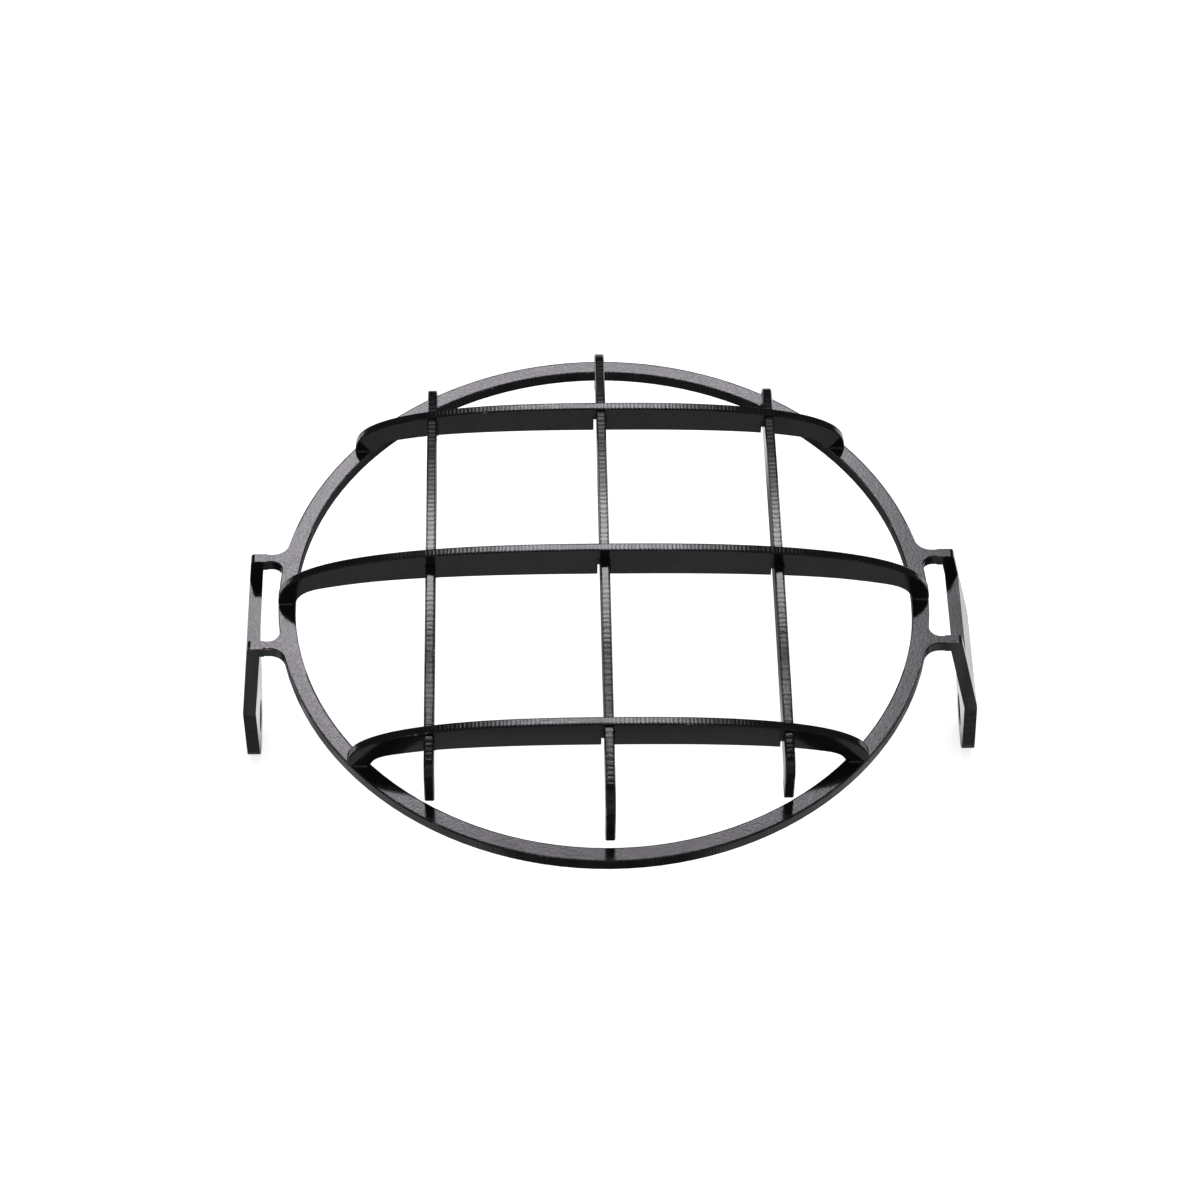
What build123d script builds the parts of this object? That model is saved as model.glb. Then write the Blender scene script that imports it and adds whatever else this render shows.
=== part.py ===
from build123d import *
import math
import os

# A round grille that guards a seven-inch motorcycle headlight. Its bars are 3 mm steel plate on edge, and the
# ring and its two ears are 4 mm plate.
# Z is the ring's axis with the grille in front, Y runs along the vertical bars and X through both ears.
# The origin lies on the axis of the two ear bolts. Lengths are in millimetres.

BAR_PLATE = 3.0
RING_PLATE = 4.0
EDGE_BREAK = 0.3

# base ring
RING_R = 100.0
RING_INNER_R = 94.8
FACE_Z = 57.0
REAR_Z = FACE_Z - RING_PLATE

# ears: two struts on each side run out from the ring, turn rearward at a tight corner and carry the eye;
# the splay leans each ear out down to its knee, and the lean carries on from there to the eye
STRUT_OUTER_Y = 18.9
STRUT_W = 3.1
STRUT_OUTER_FILLET = 5.0
STRUT_SLOT_FILLET = 3.4
STRUT_STUB = 5.0
CORNER_X = 109.0
CORNER_R = 1.2
SLOT_DEPTH = 8.6
KNEE_DEPTH = 31.5
KNEE_R = 6.0
TAPER_DEPTH = 33.0
EAR_SPLAY = {"left": 5.5, "right": 12.8}
EAR_LEAN = {"left": 1.2, "right": 4.4}
EYE_R = 12.3
TIP_R = 1.2
BOLT_HOLE_R = 5.25

# lateral bars: arched plates on edge whose feet stand on the ring's front face
BAR_PITCH = 62.75
LATERAL = {
    "lateral_bar_upper": dict(y=BAR_PITCH, foot=77.6, foot_inner=70.8, crown=19.2, crown_inner=9.2),
    "lateral_bar_middle": dict(y=0.0, foot=100.0, foot_inner=94.8, crown=24.4, crown_inner=13.1),
    "lateral_bar_lower": dict(y=-BAR_PITCH, foot=77.6, foot_inner=70.8, crown=19.2, crown_inner=9.2),
}
ARCH_POWER = 2.5

# vertical bars: flatter arches that pass behind the crowns of the lateral bars and end free
VERTICAL = {
    "vertical_bar_left": dict(x=-53.0, half=77.3, crown=17.5, fall=2.6, shoulder=5.0, gap_side=0),
    "vertical_bar_centre": dict(x=0.0, half=92.4, crown=20.2, fall=1.9, shoulder=9.0, gap_side=-1),
    "vertical_bar_right": dict(x=53.0, half=77.3, crown=17.5, fall=2.6, shoulder=5.0, gap_side=-1),
}
VERTICAL_DEPTH = 9.5
INNER_SHOULDER = 3.5
VERTICAL_FOOT = 5.5
LAP = 2.1
SLOT_W = 3.7


def ring_corners(sketch, y):
    """Corners where the strut edges at height y meet the ring's rim."""
    return [v for v in sketch.vertices() if abs(abs(v.Y) - y) < 0.01 and abs(v.X) < RING_R]


def broken_edges(plate, axis):
    """A bar with the outlines of its two flat sides lightly broken."""
    rims = [e for f in plate.faces().filter_by(axis) if f.area > 50 for e in f.edges()]
    return chamfer(rims, EDGE_BREAK)


def strut_blank():
    """The flat ring with its four struts, seen from the front."""
    length = CORNER_X - STRUT_STUB
    mid_y = STRUT_OUTER_Y - STRUT_W / 2
    with BuildSketch(Plane.XY.offset(REAR_Z)) as blank:
        Circle(RING_R)
        with Locations((0, mid_y), (0, -mid_y)):
            Rectangle(2 * length, STRUT_W)
        fillet(ring_corners(blank, STRUT_OUTER_Y), STRUT_OUTER_FILLET)
        fillet(ring_corners(blank, STRUT_OUTER_Y - STRUT_W), STRUT_SLOT_FILLET)
        Circle(RING_INNER_R, mode=Mode.SUBTRACT)
    return extrude(blank.sketch, amount=RING_PLATE)


def nearest(sketch, x, y):
    """The corner of a sketch closest to a point in its own plane."""
    return sketch.vertices().sort_by_distance((x, y, 0))[0]


def ear_side(splay, lean):
    """The ear's bent section in the XZ plane, for an ear on the +X side."""
    start = CORNER_X - STRUT_STUB
    splay = math.radians(splay)
    lean = math.radians(lean)
    knee_z = FACE_Z - KNEE_DEPTH
    knee_x = CORNER_X + KNEE_DEPTH * math.tan(splay)
    tip_z = -EYE_R
    tip_x = knee_x + (knee_z - tip_z) * math.tan(lean)
    across = RING_PLATE / math.cos(splay)
    tip_across = RING_PLATE / math.cos(lean)
    inner_drop = (across - tip_across) / (math.tan(splay) - math.tan(lean))
    inner_knee = (knee_x - across + inner_drop * math.tan(splay), knee_z - inner_drop)
    top_inner_x = CORNER_X + RING_PLATE * math.tan(splay) - across
    with BuildSketch(Plane.XZ) as side:
        with BuildLine():
            Polyline(
                (start, FACE_Z),
                (CORNER_X, FACE_Z),
                (knee_x, knee_z),
                (tip_x, tip_z),
                (tip_x - tip_across, tip_z),
                inner_knee,
                (top_inner_x, REAR_Z),
                (start, REAR_Z),
                close=True,
            )
        make_face()
        fillet(nearest(side, CORNER_X, FACE_Z), CORNER_R)
        fillet(nearest(side, knee_x, knee_z), KNEE_R)
        fillet(nearest(side, *inner_knee), KNEE_R + RING_PLATE)
        fillet(nearest(side, tip_x, tip_z), TIP_R)
        fillet(nearest(side, tip_x - tip_across, tip_z), TIP_R)
    return side.sketch


def ear_outline():
    """The ear seen along X: full width past the knee, then a taper to the round eye."""
    taper_z = FACE_Z - TAPER_DEPTH
    reach = math.hypot(STRUT_OUTER_Y, taper_z)
    slant = math.atan2(STRUT_OUTER_Y, taper_z) - math.asin(EYE_R / reach)
    length = math.sqrt(reach**2 - EYE_R**2)
    touch_y = STRUT_OUTER_Y - length * math.sin(slant)
    touch_z = taper_z - length * math.cos(slant)
    slot_y = STRUT_OUTER_Y - STRUT_W
    with BuildSketch(Plane.YZ) as outline:
        with BuildLine():
            Polyline(
                (-touch_y, touch_z),
                (-STRUT_OUTER_Y, taper_z),
                (-STRUT_OUTER_Y, FACE_Z),
                (STRUT_OUTER_Y, FACE_Z),
                (STRUT_OUTER_Y, taper_z),
                (touch_y, touch_z),
            )
            ThreePointArc((touch_y, touch_z), (0, -EYE_R), (-touch_y, touch_z))
        make_face()
        with Locations((0, FACE_Z)):
            Rectangle(2 * slot_y, 2 * SLOT_DEPTH, mode=Mode.SUBTRACT)
        Circle(BOLT_HOLE_R, mode=Mode.SUBTRACT)
    return outline.sketch


def ear(side):
    """One ear, from the ends of its two struts to the eye."""
    sheet = extrude(ear_side(EAR_SPLAY[side], EAR_LEAN[side]), amount=STRUT_OUTER_Y, both=True)
    shape = extrude(ear_outline(), amount=2 * CORNER_X)
    bent = sheet & shape
    return bent if side == "right" else mirror(bent, Plane.YZ)


def base_ring():
    """The ring with both ears, its flat rims lightly broken."""
    ring = strut_blank()
    faces = [ring.faces().sort_by(Axis.Z)[-1], ring.faces().sort_by(Axis.Z)[0]]
    rims = [e for f in faces for e in f.edges() if abs(e.center().X) < CORNER_X - STRUT_STUB - 0.5]
    ring = chamfer(rims, EDGE_BREAK)
    return ring + ear("left") + ear("right")


def superellipse(half, height, count=13):
    """Points of a flattened arch from its right foot to its left foot."""
    points = []
    for i in range(count):
        angle = math.pi * i / (count - 1)
        c = math.cos(angle)
        s = math.sin(angle)
        x = half * math.copysign(abs(c) ** (2 / ARCH_POWER), c)
        z = height * abs(s) ** (2 / ARCH_POWER)
        points.append((x, round(z, 6)))
    return points


def lateral_bar(y, foot, foot_inner, crown, crown_inner):
    """An arched plate across the ring, slotted from the rear for each vertical bar."""
    with BuildSketch(Plane.XZ.offset(-y)) as side:
        with BuildLine():
            Spline(*superellipse(foot, crown))
            Line((-foot, 0), (-foot_inner, 0))
            Spline(*reversed(superellipse(foot_inner, crown_inner)))
            Line((foot_inner, 0), (foot, 0))
        make_face()
        for bar in VERTICAL.values():
            top = vertical_top(bar, y) - (LAP if y else 0)
            x = bar["x"] + bar["gap_side"] * (SLOT_W - BAR_PLATE) / 2
            with Locations((x, top / 2)):
                Rectangle(SLOT_W, top, mode=Mode.SUBTRACT)
    bar = broken_edges(extrude(side.sketch, amount=BAR_PLATE / 2, both=True), Axis.Y)
    return bar.moved(Location((0, 0, FACE_Z)))


def vertical_top(bar, y):
    """Height of a vertical bar's front edge above the ring's face."""
    return bar["crown"] - bar["fall"] * (y / BAR_PITCH) ** 2


def vertical_bar(bar):
    """A flat arched plate with square free ends, notched where the outer lateral bars cross."""
    half = bar["half"]
    crown = bar["crown"]
    shoulder_z = vertical_top(bar, half)
    inner_half = half - VERTICAL_FOOT
    inner_z = vertical_top(bar, inner_half) - VERTICAL_DEPTH
    with BuildSketch(Plane.YZ.offset(bar["x"])) as side:
        with BuildLine():
            ThreePointArc((-half, shoulder_z), (0, crown), (half, shoulder_z))
            Line((half, shoulder_z), (half, 0))
            Line((half, 0), (inner_half, 0))
            Line((inner_half, 0), (inner_half, inner_z))
            ThreePointArc((inner_half, inner_z), (0, crown - VERTICAL_DEPTH), (-inner_half, inner_z))
            Line((-inner_half, inner_z), (-inner_half, 0))
            Line((-inner_half, 0), (-half, 0))
            Line((-half, 0), (-half, shoulder_z))
        make_face()
        for end in (-1, 1):
            fillet(nearest(side, end * half, shoulder_z), bar["shoulder"])
            fillet(nearest(side, end * inner_half, inner_z), INNER_SHOULDER)
        for y in (-BAR_PITCH, BAR_PITCH):
            with Locations((y, vertical_top(bar, y))):
                Rectangle(BAR_PLATE, 2 * LAP, mode=Mode.SUBTRACT)
    plate = broken_edges(extrude(side.sketch, amount=BAR_PLATE / 2, both=True), Axis.X)
    return plate.moved(Location((0, 0, FACE_Z)))


def main():
    os.makedirs("parts", exist_ok=True)
    nodes = {"base_ring": base_ring()}
    for name, spec in LATERAL.items():
        nodes[name] = lateral_bar(**spec)
    for name, spec in VERTICAL.items():
        nodes[name] = vertical_bar(spec)
    for name, shape in nodes.items():
        export_step(shape, f"parts/{name}.step")


main()
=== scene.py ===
import math

import bmesh
import bpy
from mathutils import Matrix, Vector


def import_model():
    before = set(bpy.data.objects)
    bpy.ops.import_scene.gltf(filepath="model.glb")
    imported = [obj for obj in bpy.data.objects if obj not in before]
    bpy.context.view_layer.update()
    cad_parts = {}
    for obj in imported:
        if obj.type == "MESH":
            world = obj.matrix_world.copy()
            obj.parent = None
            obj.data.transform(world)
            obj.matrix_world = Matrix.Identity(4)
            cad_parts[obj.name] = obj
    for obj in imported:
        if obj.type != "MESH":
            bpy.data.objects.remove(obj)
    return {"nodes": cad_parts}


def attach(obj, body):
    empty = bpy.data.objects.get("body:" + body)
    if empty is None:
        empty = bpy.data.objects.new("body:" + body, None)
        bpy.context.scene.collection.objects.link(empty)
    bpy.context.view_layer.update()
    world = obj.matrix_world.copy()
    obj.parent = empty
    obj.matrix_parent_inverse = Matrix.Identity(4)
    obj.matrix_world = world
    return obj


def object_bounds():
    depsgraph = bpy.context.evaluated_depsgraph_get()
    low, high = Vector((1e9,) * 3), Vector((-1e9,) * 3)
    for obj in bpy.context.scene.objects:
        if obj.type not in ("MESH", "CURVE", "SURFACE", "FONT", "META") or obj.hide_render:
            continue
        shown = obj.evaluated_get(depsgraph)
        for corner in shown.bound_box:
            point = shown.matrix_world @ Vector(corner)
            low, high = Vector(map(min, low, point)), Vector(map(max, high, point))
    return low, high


# A round black grille for a seven-inch motorcycle headlight, of powder coated steel plate: the bars are 3 mm
# thick, the ring and its ears 4 mm. Lengths are in metres in the part's own frame: Z is the ring's axis, with
# the grille in front, Y runs along the vertical bars and X through both ears.

RING_FACE_Z = 0.057
RING_R = 0.1
RING_HALF = 0.0026
BEND_X = 0.1052
BEND_END_Z = 0.046
BAR_HALF = 0.0015
VERTICAL_PITCH = 0.053
LATERAL_PITCH = 0.06275
VERTICAL_BAR_X = {
    "vertical_bar_left": -VERTICAL_PITCH,
    "vertical_bar_centre": 0.0,
    "vertical_bar_right": VERTICAL_PITCH,
}
LATERAL_BAR_Y = {
    "lateral_bar_upper": LATERAL_PITCH,
    "lateral_bar_middle": 0.0,
    "lateral_bar_lower": -LATERAL_PITCH,
}

# weld beads: the stretch of each foot that stands on the ring, and in the slots around the vertical bars the
# distance from the bar's middle plane and the heights above the ring's face; a bar has a narrow gap on both
# sides or a wide one on its left
FOOT_WELD_R = 0.0006
FOOT_WELDS = {
    "lateral_bar_upper": (0.0729, 0.0773),
    "lateral_bar_middle": (0.0953, 0.0995),
    "lateral_bar_lower": (0.0713, 0.0757),
}
SLOT_WELD_R = 0.00045
NARROW_GAP = 0.0017
WIDE_GAP = 0.00185
SLOT_WELDS = [
    ("lateral_bar_upper", "vertical_bar_left", -NARROW_GAP, 0.0072, 0.0146),
    ("lateral_bar_upper", "vertical_bar_left", NARROW_GAP, 0.0072, 0.0146),
    ("lateral_bar_upper", "vertical_bar_centre", -WIDE_GAP, 0.0143, 0.0168),
    ("lateral_bar_upper", "vertical_bar_right", -WIDE_GAP, 0.0102, 0.0134),
    ("lateral_bar_middle", "vertical_bar_left", -NARROW_GAP, 0.0119, 0.0187),
    ("lateral_bar_middle", "vertical_bar_left", NARROW_GAP, 0.0119, 0.0187),
    ("lateral_bar_middle", "vertical_bar_centre", -WIDE_GAP, 0.0177, 0.0208),
    ("lateral_bar_middle", "vertical_bar_right", -WIDE_GAP, 0.015, 0.0181),
    ("lateral_bar_lower", "vertical_bar_left", -NARROW_GAP, 0.0072, 0.0146),
    ("lateral_bar_lower", "vertical_bar_left", NARROW_GAP, 0.0072, 0.0146),
    ("lateral_bar_lower", "vertical_bar_centre", -WIDE_GAP, 0.0124, 0.0168),
    ("lateral_bar_lower", "vertical_bar_right", -WIDE_GAP, 0.0102, 0.0134),
]
BEAD_SIDES = 12
BEAD_STEP = 0.00025
BEAD_MIN_STEPS = 8
BEAD_RIPPLE = 0.12
BEAD_RIPPLE_TURN = 1.9
BEAD_TIP = 0.15

# the coats: their roughness, and the pitch and depth of the cutter's marks on the plates' edges
RING_COAT = dict(gloss=0.11, pitch=0.0012, depth=0.6)
LATERAL_COAT = dict(gloss=0.12, pitch=0.0012, depth=0.75)
VERTICAL_COAT = dict(gloss=0.065, pitch=0.0019, depth=0.42)
COAT_BLACK = (0.003, 0.0029, 0.0032, 1.0)
COAT_GREY = (0.0075, 0.0072, 0.0079, 1.0)
RUBBED_COAT = (0.03, 0.029, 0.031, 1.0)
BARE_STEEL = (0.3, 0.24, 0.22, 1.0)
SPECULAR_LEVEL = 0.25
BUMP_DEPTH = 0.00005
EDGE_ROUND = 0.0009

# the share of each effect in the coat
FLAT_GLEAM = 0.34
GLEAM_LOST_ON_CUT = 0.28
BAND_GLEAM = 0.45
GLEAM_ROUGHNESS = 0.12
EDGE_RUB = 0.35
BAND_RUB = 0.12
BAND_ROUGHNESS = 0.08
CHIP_ROUGHNESS = 0.25
CHIP_METAL = 0.5
GRAIN_DEPTH = 0.35
MARK_WOBBLE = 0.0005
MARK_DRIFT = 7.0

# the one knocked corner: along each axis, how far the bare steel reaches and where the coat is whole again
CHIPPED_SPOT = (-0.1052, -0.0189, RING_FACE_Z)
CHIPPED_REACH = ((0.0022, 0.0045), (0.0003, 0.0006), (0.0003, 0.0007))

# the photograph's view: a long lens above the near rim
LENS_MM = 117.586
SENSOR_MM = 36.0
AIM = Vector((-0.0012645, -0.0007339, RING_FACE_Z))
VIEW_DISTANCE = 1.205
VIEW_AZIMUTH = math.radians(-1.8515)
VIEW_ELEVATION = math.radians(50.1677)
VIEW_ROLL = math.radians(0.9565)

# the soft boxes behind and above the guard, in degrees of height and of turn to the right; the dim gap
# between the narrow top one and the others shows as a dark stretch on the vertical bars
SOFT_BOXES = {
    "wide_soft_box": dict(low=38.0, high=58.6, turn=0.0, half_width=14.0, radiance=0.55),
    "low_soft_box": dict(low=41.8, high=44.6, turn=0.0, half_width=14.0, radiance=2.3),
    "side_soft_box": dict(low=44.6, high=54.7, turn=0.0, half_width=14.0, radiance=2.0),
    "middle_soft_box": dict(low=44.8, high=54.4, turn=-0.5, half_width=9.0, radiance=3.2),
    "centre_soft_box": dict(low=46.2, high=52.8, turn=0.5, half_width=7.5, radiance=7.6),
    "top_soft_box": dict(low=58.6, high=60.1, turn=0.0, half_width=12.0, radiance=16.0),
}
LAMP_DISTANCE = 20.0
LAMP_TINT = (1.0, 0.955, 1.03)

# the white room: the light that it gives, and how bright the coat mirrors it behind and in front of the guard
ROOM_WHITE = (1.0, 1.0, 1.0, 1.0)
ROOM_LIGHT = 0.65
ROOM_MIRRORED = 0.06
FRONT_MIRRORED = 0.45
FRONT_Y = -0.3
BEHIND_Y = 0.1

# the paper floor
FLOOR_R = 4.0
FLOOR_GAP = 0.0006
PAPER_WHITE = (0.9, 0.9, 0.9, 1.0)
PAPER_LIFT = 0.6

# how bright the coat mirrors the floor, a painted reflection by the place on it: a painted dark stretch in
# front, painted shade under the grille, painted light behind it and beside the ears, and a painted shadow at
# each ear's tip
FRONT_PAINTED_DARK_REFLECTION = dict(low=-0.139, high=-0.129, out_low=0.05, out_high=0.54)
UNDER_GRILLE_PAINTED_SHADE = dict(low=0.0, high=0.03, out_low=0.0, out_high=-0.4)
BEHIND_GRILLE_PAINTED_LIGHT = dict(low=0.1, high=0.13, out_low=0.0, out_high=0.7)
PAINTED_LIGHT_BESIDE_EARS = dict(low=0.09, high=0.1, out_low=0.0, out_high=0.7)
PAINTED_LIGHT_BESIDE_EARS_FROM = dict(low=-0.01, high=0.02)
EAR_TIP_X = 0.111
EAR_TIP_Y = -0.02
EAR_TIP_PAINTED_SHADOW = dict(low=0.012, high=0.03, out_low=-0.4, out_high=0.0)


def new_group(name, inputs, outputs):
    """An empty shader group with float or vector sockets, and its input and output nodes."""
    tree = bpy.data.node_groups.new(name, "ShaderNodeTree")
    for socket, kind in inputs.items():
        tree.interface.new_socket(name=socket, in_out="INPUT", socket_type=kind)
    for socket, kind in outputs.items():
        tree.interface.new_socket(name=socket, in_out="OUTPUT", socket_type=kind)
    return tree, tree.nodes.new("NodeGroupInput"), tree.nodes.new("NodeGroupOutput")


def maths(tree, operation, a, b=0.0):
    """A Math node whose inputs are sockets or plain numbers; returns its output."""
    node = tree.nodes.new("ShaderNodeMath")
    node.operation = operation
    for slot, value in zip(node.inputs, (a, b)):
        if isinstance(value, (int, float)):
            slot.default_value = value
        else:
            tree.links.new(value, slot)
    return node.outputs[0]


def plus(tree, a, b):
    """The sum of two values."""
    return maths(tree, "ADD", a, b)


def minus(tree, a, b):
    """The first value less the second."""
    return maths(tree, "SUBTRACT", a, b)


def times(tree, a, b):
    """The product of two values."""
    return maths(tree, "MULTIPLY", a, b)


def apart(tree, a, b):
    """How far two values lie apart."""
    return maths(tree, "ABSOLUTE", minus(tree, a, b))


def distance(tree, a, b):
    """How far two steps, square to each other, lead from their start."""
    return maths(tree, "SQRT", plus(tree, maths(tree, "POWER", a, 2.0), maths(tree, "POWER", b, 2.0)))


def ramp(tree, value, low, high, out_low=0.0, out_high=1.0):
    """Maps a value smoothly from one range to another."""
    node = tree.nodes.new("ShaderNodeMapRange")
    node.interpolation_type = "SMOOTHSTEP"
    tree.links.new(value, node.inputs["Value"])
    node.inputs["From Min"].default_value = low
    node.inputs["From Max"].default_value = high
    node.inputs["To Min"].default_value = out_low
    node.inputs["To Max"].default_value = out_high
    return node.outputs["Result"]


def noise(tree, position, scale, detail=2.0, roughness=0.5):
    """Noise through the plate's own space, as a value between 0 and 1."""
    node = tree.nodes.new("ShaderNodeTexNoise")
    tree.links.new(position, node.inputs["Vector"])
    node.inputs["Scale"].default_value = scale
    node.inputs["Detail"].default_value = detail
    node.inputs["Roughness"].default_value = roughness
    return node.outputs["Fac"]


def line_noise(tree, along, scale, detail):
    """Noise that changes only along a plate's edge."""
    node = tree.nodes.new("ShaderNodeTexNoise")
    node.noise_dimensions = "1D"
    tree.links.new(along, node.inputs["W"])
    node.inputs["Scale"].default_value = scale
    node.inputs["Detail"].default_value = detail
    return node.outputs["Fac"]


def split(tree, vector):
    """The X, Y and Z of a vector."""
    node = tree.nodes.new("ShaderNodeSeparateXYZ")
    tree.links.new(vector, node.inputs[0])
    return node.outputs


def colour_mix(tree, factor, a, b):
    """Goes from one colour to another; each is a socket or a plain colour."""
    node = tree.nodes.new("ShaderNodeMix")
    node.data_type = "RGBA"
    tree.links.new(factor, node.inputs["Factor"])
    for socket, value in (("A", a), ("B", b)):
        slot = [s for s in node.inputs if s.name == socket and s.type == "RGBA"][0]
        if isinstance(value, tuple):
            slot.default_value = value
        else:
            tree.links.new(value, slot)
    return [s for s in node.outputs if s.type == "RGBA"][0]


def coat_grain_group():
    """The fine orange peel and cloudiness of a satin powder coat."""
    tree, start, end = new_group(
        "Powder coat grain",
        {"Position": "NodeSocketVector", "Gloss": "NodeSocketFloat"},
        {"Height": "NodeSocketFloat", "Tone": "NodeSocketFloat", "Roughness": "NodeSocketFloat",
         "Gleam": "NodeSocketFloat"},
    )
    position = start.outputs["Position"]
    peel = noise(tree, position, scale=1500, detail=1.5)
    speck = noise(tree, position, scale=3400, detail=2.0, roughness=0.6)
    cloud = noise(tree, position, scale=95, detail=3.0, roughness=0.55)
    height = plus(tree, times(tree, peel, 0.75), times(tree, speck, 0.25))
    tree.links.new(height, end.inputs["Height"])

    speckled = times(tree, ramp(tree, speck, 0.35, 0.7), 0.5)
    clouded = times(tree, ramp(tree, cloud, 0.3, 0.7), 0.5)
    tree.links.new(plus(tree, speckled, clouded), end.inputs["Tone"])

    hazed = ramp(tree, cloud, 0.3, 0.7, -0.02, 0.03)
    peeled = ramp(tree, peel, 0.3, 0.7, -0.03, 0.04)
    roughness = plus(tree, start.outputs["Gloss"], plus(tree, hazed, peeled))
    tree.links.new(roughness, end.inputs["Roughness"])

    glint = ramp(tree, noise(tree, position, scale=1900, detail=2.5, roughness=0.7), 0.3, 0.7)
    gleam = times(tree, glint, ramp(tree, cloud, 0.25, 0.75, 0.6, 1.0))
    tree.links.new(gleam, end.inputs["Gleam"])
    return tree


def cut_marks_group():
    """The ladder of lines that the cutter leaves across a plate's narrow edge, under the coat."""
    tree, start, end = new_group(
        "Cut edge marks",
        {"Position": "NodeSocketVector", "Along": "NodeSocketFloat", "Pitch": "NodeSocketFloat"},
        {"Height": "NodeSocketFloat", "Bands": "NodeSocketFloat"},
    )
    wobble = times(tree, noise(tree, start.outputs["Position"], scale=420, detail=1.0), MARK_WOBBLE)
    along = plus(tree, start.outputs["Along"], wobble)
    drift = times(tree, line_noise(tree, along, scale=160, detail=1.0), MARK_DRIFT)
    rungs = maths(tree, "DIVIDE", along, start.outputs["Pitch"])
    wave = maths(tree, "SINE", plus(tree, times(tree, rungs, 2 * math.pi), drift))
    rung = plus(tree, times(tree, wave, 0.5), 0.5)
    depth = ramp(tree, line_noise(tree, along, scale=75, detail=1.0), 0.32, 0.62, 0.25, 1.0)
    bands = times(tree, rung, depth)
    fine = line_noise(tree, along, scale=1500, detail=2.0)
    tree.links.new(plus(tree, times(tree, bands, 0.6), times(tree, fine, 0.4)), end.inputs["Height"])
    tree.links.new(bands, end.inputs["Bands"])
    return tree


def rounding_group():
    """How far the coat falls away towards a plate's edges, which it leaves softly rounded."""
    tree, start, end = new_group(
        "Rounded edge",
        {"Across": "NodeSocketFloat", "Reach": "NodeSocketFloat"},
        {"Drop": "NodeSocketFloat"},
    )
    begins = minus(tree, start.outputs["Reach"], EDGE_ROUND * 0.75)
    past = minus(tree, start.outputs["Across"], begins)
    over = maths(tree, "MINIMUM", maths(tree, "MAXIMUM", past, 0.0), EDGE_ROUND)
    drop = times(tree, maths(tree, "POWER", over, 2.0), 0.5 / EDGE_ROUND)
    tree.links.new(drop, end.inputs["Drop"])
    return tree


def chips_group():
    """Sparse pale chips where the coat has gone from a plate's sharp edges."""
    tree, start, end = new_group(
        "Edge chips",
        {"Position": "NodeSocketVector", "Edge": "NodeSocketFloat", "Spot": "NodeSocketFloat"},
        {"Chips": "NodeSocketFloat", "Rub": "NodeSocketFloat"},
    )
    position = start.outputs["Position"]
    edge = start.outputs["Edge"]
    where = ramp(tree, noise(tree, position, scale=70, detail=1.0), 0.62, 0.72)
    flake = ramp(tree, noise(tree, position, scale=1300, detail=2.0), 0.52, 0.6)
    sparse = times(tree, times(tree, where, flake), edge)
    rough = ramp(tree, noise(tree, position, scale=900, detail=2.0), 0.46, 0.52)
    torn = times(tree, rough, start.outputs["Spot"])
    tree.links.new(maths(tree, "MAXIMUM", sparse, torn), end.inputs["Chips"])
    worn = ramp(tree, noise(tree, position, scale=240, detail=2.0), 0.35, 0.7)
    tree.links.new(times(tree, worn, edge), end.inputs["Rub"])
    return tree


def place_group(tree, group, **values):
    """Puts a node group into a material and feeds its inputs."""
    node = tree.nodes.new("ShaderNodeGroup")
    node.node_tree = group
    for socket, value in values.items():
        if isinstance(value, (int, float)):
            node.inputs[socket].default_value = value
        else:
            tree.links.new(value, node.inputs[socket])
    return node


def off_centre(tree, value, pitch):
    """How far a point lies from the middle plane of the nearest bar of a row."""
    row = maths(tree, "FLOORED_MODULO", plus(tree, value, pitch * 1.5), pitch)
    return apart(tree, row, pitch / 2)


def lie_of_vertical_bar(tree, normal, position):
    """How squarely a point faces as the flat sides do, its place along the bar, and the distances of the
    point and of the bar's edges from its middle plane."""
    flat = maths(tree, "ABSOLUTE", split(tree, normal)["X"])
    p = split(tree, position)
    return flat, p["Y"], off_centre(tree, p["X"], VERTICAL_PITCH), BAR_HALF


def lie_of_lateral_bar(tree, normal, position):
    """The same for a lateral bar, whose flat sides look along Y."""
    flat = maths(tree, "ABSOLUTE", split(tree, normal)["Y"])
    p = split(tree, position)
    return flat, p["X"], off_centre(tree, p["Y"], LATERAL_PITCH), BAR_HALF


def lie_of_bent_ring(tree, normal, position):
    """The same for the ring, whose flat faces look along Z, and for the ears, whose flat faces look along X
    past the bend. Beside the struts the rim isn't rounded."""
    n = split(tree, normal)
    p = split(tree, position)
    on_ear = maths(tree, "GREATER_THAN", maths(tree, "ABSOLUTE", p["X"]), BEND_X)
    above_bend = maths(tree, "GREATER_THAN", p["Z"], BEND_END_Z)
    along_z = maths(tree, "ABSOLUTE", n["Z"])
    along_x = times(tree, maths(tree, "ABSOLUTE", n["X"]), on_ear)
    keep_z = maths(tree, "MAXIMUM", above_bend, minus(tree, 1.0, on_ear))
    flat = maths(tree, "MAXIMUM", times(tree, along_z, keep_z), along_x)
    around = times(tree, maths(tree, "ARCTAN2", p["Y"], p["X"]), RING_R)
    from_middle = apart(tree, distance(tree, p["X"], p["Y"]), RING_R - RING_HALF)
    clear_of_struts = ramp(tree, maths(tree, "ABSOLUTE", p["Y"]), 0.022, 0.03)
    return flat, around, times(tree, from_middle, clear_of_struts), RING_HALF


def chipped_corner(tree, position):
    """The one stretch where the coat is knocked off, a thin line on the near edge of the left ear's strut."""
    p = split(tree, position)
    bare = []
    for axis, middle, (reach, whole) in zip("XYZ", CHIPPED_SPOT, CHIPPED_REACH):
        bare.append(ramp(tree, apart(tree, p[axis], middle), reach, whole, 1.0, 0.0))
    return times(tree, bare[0], times(tree, bare[1], bare[2]))


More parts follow.
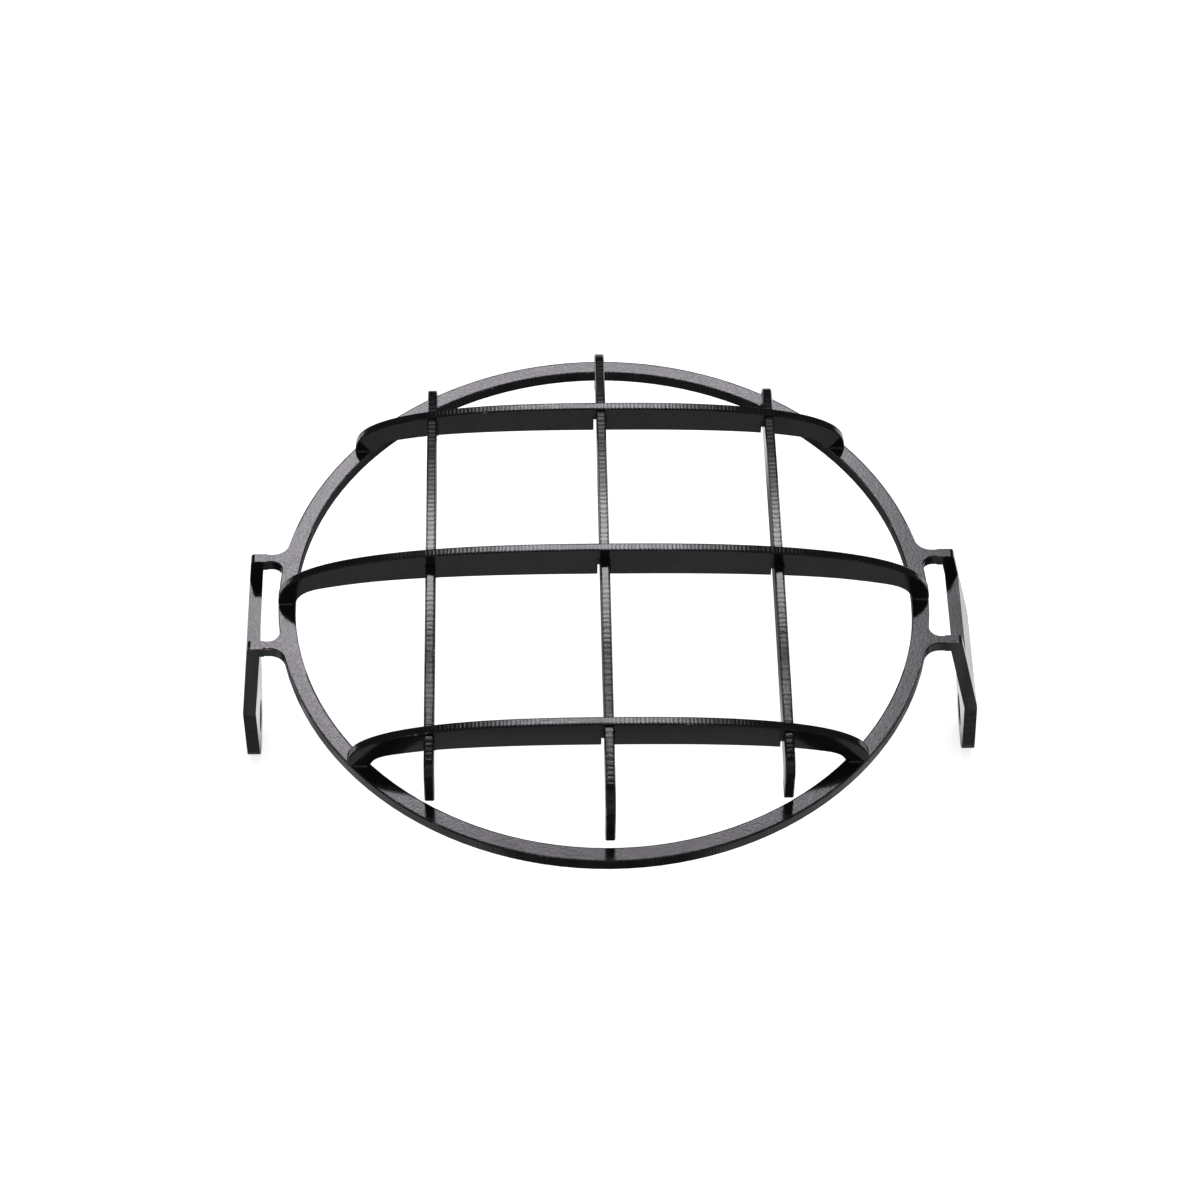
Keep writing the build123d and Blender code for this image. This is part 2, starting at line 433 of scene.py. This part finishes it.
def coat_material(name, groups, lie_of_plate, gloss, pitch, depth):
    """Satin black powder coat over steel plate: grain on the flats, and on the edges chips and the cutter's
    marks, of the given pitch and depth."""
    material = bpy.data.materials.new(name)
    material.use_nodes = True
    tree = material.node_tree
    tree.nodes.clear()
    surface = tree.nodes.new("ShaderNodeBsdfPrincipled")
    output = tree.nodes.new("ShaderNodeOutputMaterial")
    tree.links.new(surface.outputs["BSDF"], output.inputs["Surface"])
    place = tree.nodes.new("ShaderNodeTexCoord")
    position = place.outputs["Object"]
    flat, along, across, reach = lie_of_plate(tree, place.outputs["Normal"], position)
    # cut is 1 on the plate's narrow edges, and broken on the corners between them and its flat sides
    cut = ramp(tree, flat, 0.3, 0.5, 1.0, 0.0)
    broken = times(tree, ramp(tree, flat, 0.5, 0.65), ramp(tree, flat, 0.8, 0.93, 1.0, 0.0))

    grain = place_group(tree, groups["grain"], Position=position, Gloss=gloss)
    marks = place_group(tree, groups["marks"], Position=position, Along=along, Pitch=pitch)
    spot = chipped_corner(tree, position)
    chips = place_group(tree, groups["chips"], Position=position, Edge=broken, Spot=spot)
    bands = times(tree, marks.outputs["Bands"], cut)

    gleam_left = minus(tree, FLAT_GLEAM, times(tree, cut, GLEAM_LOST_ON_CUT))
    gleam = times(tree, grain.outputs["Gleam"], gleam_left)
    tree.links.new(plus(tree, gleam, times(tree, bands, BAND_GLEAM)), surface.inputs["Coat Weight"])
    surface.inputs["Coat Roughness"].default_value = GLEAM_ROUGHNESS

    coat = colour_mix(tree, grain.outputs["Tone"], COAT_BLACK, COAT_GREY)
    rubbed = colour_mix(tree, times(tree, chips.outputs["Rub"], EDGE_RUB), coat, RUBBED_COAT)
    banded = colour_mix(tree, times(tree, bands, BAND_RUB), rubbed, RUBBED_COAT)
    chipped = colour_mix(tree, chips.outputs["Chips"], banded, BARE_STEEL)
    tree.links.new(chipped, surface.inputs["Base Color"])

    rough = plus(tree, grain.outputs["Roughness"], times(tree, bands, BAND_ROUGHNESS))
    rough_chips = times(tree, chips.outputs["Chips"], CHIP_ROUGHNESS)
    tree.links.new(plus(tree, rough, rough_chips), surface.inputs["Roughness"])
    tree.links.new(times(tree, chips.outputs["Chips"], CHIP_METAL), surface.inputs["Metallic"])
    surface.inputs["Specular IOR Level"].default_value = SPECULAR_LEVEL

    grained = times(tree, grain.outputs["Height"], GRAIN_DEPTH)
    marked = times(tree, marks.outputs["Height"], times(tree, cut, depth))
    rounding = place_group(tree, groups["rounding"], Across=across, Reach=reach)
    drop = times(tree, rounding.outputs["Drop"], 1 / BUMP_DEPTH)
    relief = minus(tree, plus(tree, grained, marked), drop)
    bump = tree.nodes.new("ShaderNodeBump")
    bump.inputs["Strength"].default_value = 1.0
    bump.inputs["Distance"].default_value = BUMP_DEPTH
    tree.links.new(relief, bump.inputs["Height"])
    tree.links.new(bump.outputs["Normal"], surface.inputs["Normal"])
    return material


def dress_plates(frame):
    """Gives each CAD plate its coat, and returns the lateral bars' one."""
    groups = {
        "grain": coat_grain_group(),
        "marks": cut_marks_group(),
        "chips": chips_group(),
        "rounding": rounding_group(),
    }
    ring = coat_material("Coated ring and ears", groups, lie_of_bent_ring, **RING_COAT)
    lateral = coat_material("Coated lateral bars", groups, lie_of_lateral_bar, **LATERAL_COAT)
    vertical = coat_material("Coated vertical bars", groups, lie_of_vertical_bar, **VERTICAL_COAT)
    coats = {"base_ring": ring}
    coats.update({name: lateral for name in LATERAL_BAR_Y})
    coats.update({name: vertical for name in VERTICAL_BAR_X})
    for name, material in coats.items():
        node = frame["nodes"][name]
        for slot in node.material_slots:
            slot.material = material
    return lateral


def bead_ring(bm, middle, turn, size):
    """One round of points across a weld bead."""
    points = []
    for k in range(BEAD_SIDES):
        angle = math.tau * k / BEAD_SIDES
        spoke = Vector((size * math.cos(angle), size * math.sin(angle), 0.0))
        points.append(bm.verts.new(middle + turn @ spoke))
    return points


def weld_bead(name, start, end, radius):
    """A short rippled bead of weld from one point to another, with rounded ends."""
    run = end - start
    turn = run.to_track_quat("Z", "Y")
    steps = max(BEAD_MIN_STEPS, round(run.length / BEAD_STEP))
    bm = bmesh.new()
    rings = []
    for i in range(steps + 1):
        part = i / steps
        ripple = 1 + BEAD_RIPPLE * math.sin(part * steps * BEAD_RIPPLE_TURN)
        taper = max(BEAD_TIP, 1 - abs(2 * part - 1) ** 6) ** 0.5
        rings.append(bead_ring(bm, start + run * part, turn, radius * ripple * taper))
    for a, b in zip(rings, rings[1:]):
        for k in range(BEAD_SIDES):
            after = (k + 1) % BEAD_SIDES
            bm.faces.new((a[k], a[after], b[after], b[k]))
    bm.faces.new(list(reversed(rings[0])))
    bm.faces.new(rings[-1])
    for face in bm.faces:
        face.smooth = True
    mesh = bpy.data.meshes.new(name)
    bm.to_mesh(mesh)
    bm.free()
    bead = bpy.data.objects.new(name, mesh)
    bpy.context.scene.collection.objects.link(bead)
    return bead


def weld_beads(coat):
    """Beads along the lateral bars' feet on the ring, and in the slots around the vertical bars."""
    beads = []
    for bar, y in LATERAL_BAR_Y.items():
        inner, outer = FOOT_WELDS[bar]
        for side, name in ((-1, "left"), (1, "right")):
            start = Vector((side * inner, y - BAR_HALF, RING_FACE_Z))
            end = Vector((side * outer, y - BAR_HALF, RING_FACE_Z))
            beads.append(weld_bead(f"foot_weld_{bar}_{name}", start, end, FOOT_WELD_R))
    for number, (bar, upright, off, low, high) in enumerate(SLOT_WELDS, 1):
        x = VERTICAL_BAR_X[upright] + off
        y = LATERAL_BAR_Y[bar] - BAR_HALF + SLOT_WELD_R / 2
        start = Vector((x, y, RING_FACE_Z + low))
        end = Vector((x, y, RING_FACE_Z + high))
        beads.append(weld_bead(f"slot_weld_{number}", start, end, SLOT_WELD_R))
    for bead in beads:
        bead.data.materials.append(coat)
        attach(bead, "root")


def shown_plainly(tree):
    """The light path, and 1 for rays from the camera or through glass, which see plain white."""
    path = tree.nodes.new("ShaderNodeLightPath")
    return path, maths(tree, "MAXIMUM", path.outputs["Is Camera Ray"], path.outputs["Is Transmission Ray"])


def white_room():
    """Plain white behind the guard. It lights the coat softly, and the coat mirrors it darkly, least so in
    front of the guard."""
    world = bpy.data.worlds.new("White room")
    bpy.context.scene.world = world
    world.use_nodes = True
    tree = world.node_tree
    tree.nodes.clear()
    path, plain = shown_plainly(tree)
    glossy = path.outputs["Is Glossy Ray"]
    place = tree.nodes.new("ShaderNodeTexCoord")
    y = split(tree, place.outputs["Generated"])["Y"]
    mirrored = times(tree, glossy, ramp(tree, y, FRONT_Y, BEHIND_Y, FRONT_MIRRORED, ROOM_MIRRORED))
    others = minus(tree, 1.0, maths(tree, "MAXIMUM", glossy, plain))
    lit = times(tree, others, ROOM_LIGHT)
    air = tree.nodes.new("ShaderNodeBackground")
    air.inputs["Color"].default_value = ROOM_WHITE
    tree.links.new(plus(tree, plus(tree, plain, mirrored), lit), air.inputs["Strength"])
    output = tree.nodes.new("ShaderNodeOutputWorld")
    tree.links.new(air.outputs[0], output.inputs["Surface"])


def painted_floor_reflection(tree):
    """A painted reflection: the floor as the coat mirrors it, lighter or darker by the place on the floor."""
    place = tree.nodes.new("ShaderNodeTexCoord")
    x, y = split(tree, place.outputs["Object"])[:2]
    off_middle = maths(tree, "ABSOLUTE", x)
    # painted dark reflection: the floor mirrors dark in front of the guard
    front = ramp(tree, y, **FRONT_PAINTED_DARK_REFLECTION)
    # painted shade in the reflection under the grille, and painted light behind it
    under = plus(tree, ramp(tree, y, **UNDER_GRILLE_PAINTED_SHADE), ramp(tree, y, **BEHIND_GRILLE_PAINTED_LIGHT))
    # painted light in the reflection beside the ears
    sides = times(tree, ramp(tree, off_middle, **PAINTED_LIGHT_BESIDE_EARS), ramp(tree, y, **PAINTED_LIGHT_BESIDE_EARS_FROM))
    # painted shadow in the reflection around each ear's tip, where the ear meets the floor
    from_tip = distance(tree, minus(tree, off_middle, EAR_TIP_X), minus(tree, y, EAR_TIP_Y))
    tip_painted_shadow = ramp(tree, from_tip, **EAR_TIP_PAINTED_SHADOW)
    # an emission seen only by glossy rays: the painted reflection of the floor
    painted_reflection_glow = tree.nodes.new("ShaderNodeEmission")
    strength = plus(tree, plus(tree, front, under), plus(tree, sides, tip_painted_shadow))
    tree.links.new(strength, painted_reflection_glow.inputs["Strength"])
    return painted_reflection_glow.outputs[0]


def floor_material():
    """Matt white paper that keeps the guard's shadow. The coat mirrors it as a painted reflection of light
    and dark patches.
    """
    material = bpy.data.materials.new("White paper floor")
    material.use_nodes = True
    tree = material.node_tree
    tree.nodes.clear()
    path, plain = shown_plainly(tree)
    paper = tree.nodes.new("ShaderNodeBsdfDiffuse")
    paper.inputs["Color"].default_value = PAPER_WHITE
    glow = tree.nodes.new("ShaderNodeEmission")
    tree.links.new(times(tree, plain, PAPER_LIFT), glow.inputs["Strength"])
    both = tree.nodes.new("ShaderNodeAddShader")
    tree.links.new(paper.outputs[0], both.inputs[0])
    tree.links.new(glow.outputs[0], both.inputs[1])
    mix = tree.nodes.new("ShaderNodeMixShader")
    # glossy rays see the painted reflection in place of the lit paper
    tree.links.new(path.outputs["Is Glossy Ray"], mix.inputs[0])
    tree.links.new(both.outputs[0], mix.inputs[1])
    tree.links.new(painted_floor_reflection(tree), mix.inputs[2])
    output = tree.nodes.new("ShaderNodeOutputMaterial")
    tree.links.new(mix.outputs[0], output.inputs["Surface"])
    return material


def paper_floor(lowest):
    """A wide round sheet of paper just under the part's lowest point."""
    mesh = bpy.data.meshes.new("paper_floor")
    bm = bmesh.new()
    bmesh.ops.create_circle(bm, cap_ends=True, radius=FLOOR_R, segments=96)
    bm.to_mesh(mesh)
    bm.free()
    floor = bpy.data.objects.new("paper_floor", mesh)
    floor.location = (0.0, 0.0, lowest - FLOOR_GAP)
    mesh.materials.append(floor_material())
    bpy.context.scene.collection.objects.link(floor)


def look_matrix(place, aim):
    """Faces -Z of a lamp from its place towards a point."""
    forward = (aim - place).normalized()
    return Matrix.Translation(place) @ forward.to_track_quat("-Z", "Y").to_matrix().to_4x4()


def soft_box(name, low, high, turn, half_width, radiance):
    """A soft box behind the guard that fills the sky between two heights."""
    height = math.radians((low + high) / 2)
    right = math.radians(turn)
    data = bpy.data.lights.new(name, "AREA")
    data.shape = "RECTANGLE"
    data.size = 2 * LAMP_DISTANCE * math.tan(math.radians(half_width)) * math.cos(height)
    data.size_y = 2 * LAMP_DISTANCE * math.tan(math.radians((high - low) / 2))
    data.energy = radiance * math.pi * data.size * data.size_y
    data.color = LAMP_TINT
    lamp = bpy.data.objects.new(name, data)
    bpy.context.scene.collection.objects.link(lamp)
    aim = Vector((0.0, 0.0, RING_FACE_Z))
    level = math.cos(height)
    direction = Vector((math.sin(right) * level, math.cos(right) * level, math.sin(height)))
    lamp.matrix_world = look_matrix(aim + direction * LAMP_DISTANCE, aim)
    lamp.visible_camera = False


def photo_camera():
    """The photograph's own view, held upright but for its slight roll."""
    back = Vector((math.sin(VIEW_AZIMUTH) * math.cos(VIEW_ELEVATION),
                   -math.cos(VIEW_AZIMUTH) * math.cos(VIEW_ELEVATION), math.sin(VIEW_ELEVATION)))
    right = Vector((0.0, 0.0, 1.0)).cross(back).normalized()
    up = back.cross(right)
    side = math.cos(VIEW_ROLL) * right + math.sin(VIEW_ROLL) * up
    top = math.cos(VIEW_ROLL) * up - math.sin(VIEW_ROLL) * right
    place = AIM + back * VIEW_DISTANCE
    data = bpy.data.cameras.new("photo_camera")
    data.lens = LENS_MM
    data.sensor_width = SENSOR_MM
    camera = bpy.data.objects.new("photo_camera", data)
    bpy.context.scene.collection.objects.link(camera)
    camera.matrix_world = Matrix((
        (side.x, top.x, back.x, place.x),
        (side.y, top.y, back.y, place.y),
        (side.z, top.z, back.z, place.z),
        (0.0, 0.0, 0.0, 1.0),
    ))
    bpy.context.scene.camera = camera


def main():
    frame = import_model()
    cad_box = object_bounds()
    bpy.context.scene.view_settings.view_transform = "Standard"
    weld_beads(dress_plates(frame))
    white_room()
    paper_floor(cad_box[0][2])
    for name, box in SOFT_BOXES.items():
        soft_box(name, **box)
    photo_camera()


main()
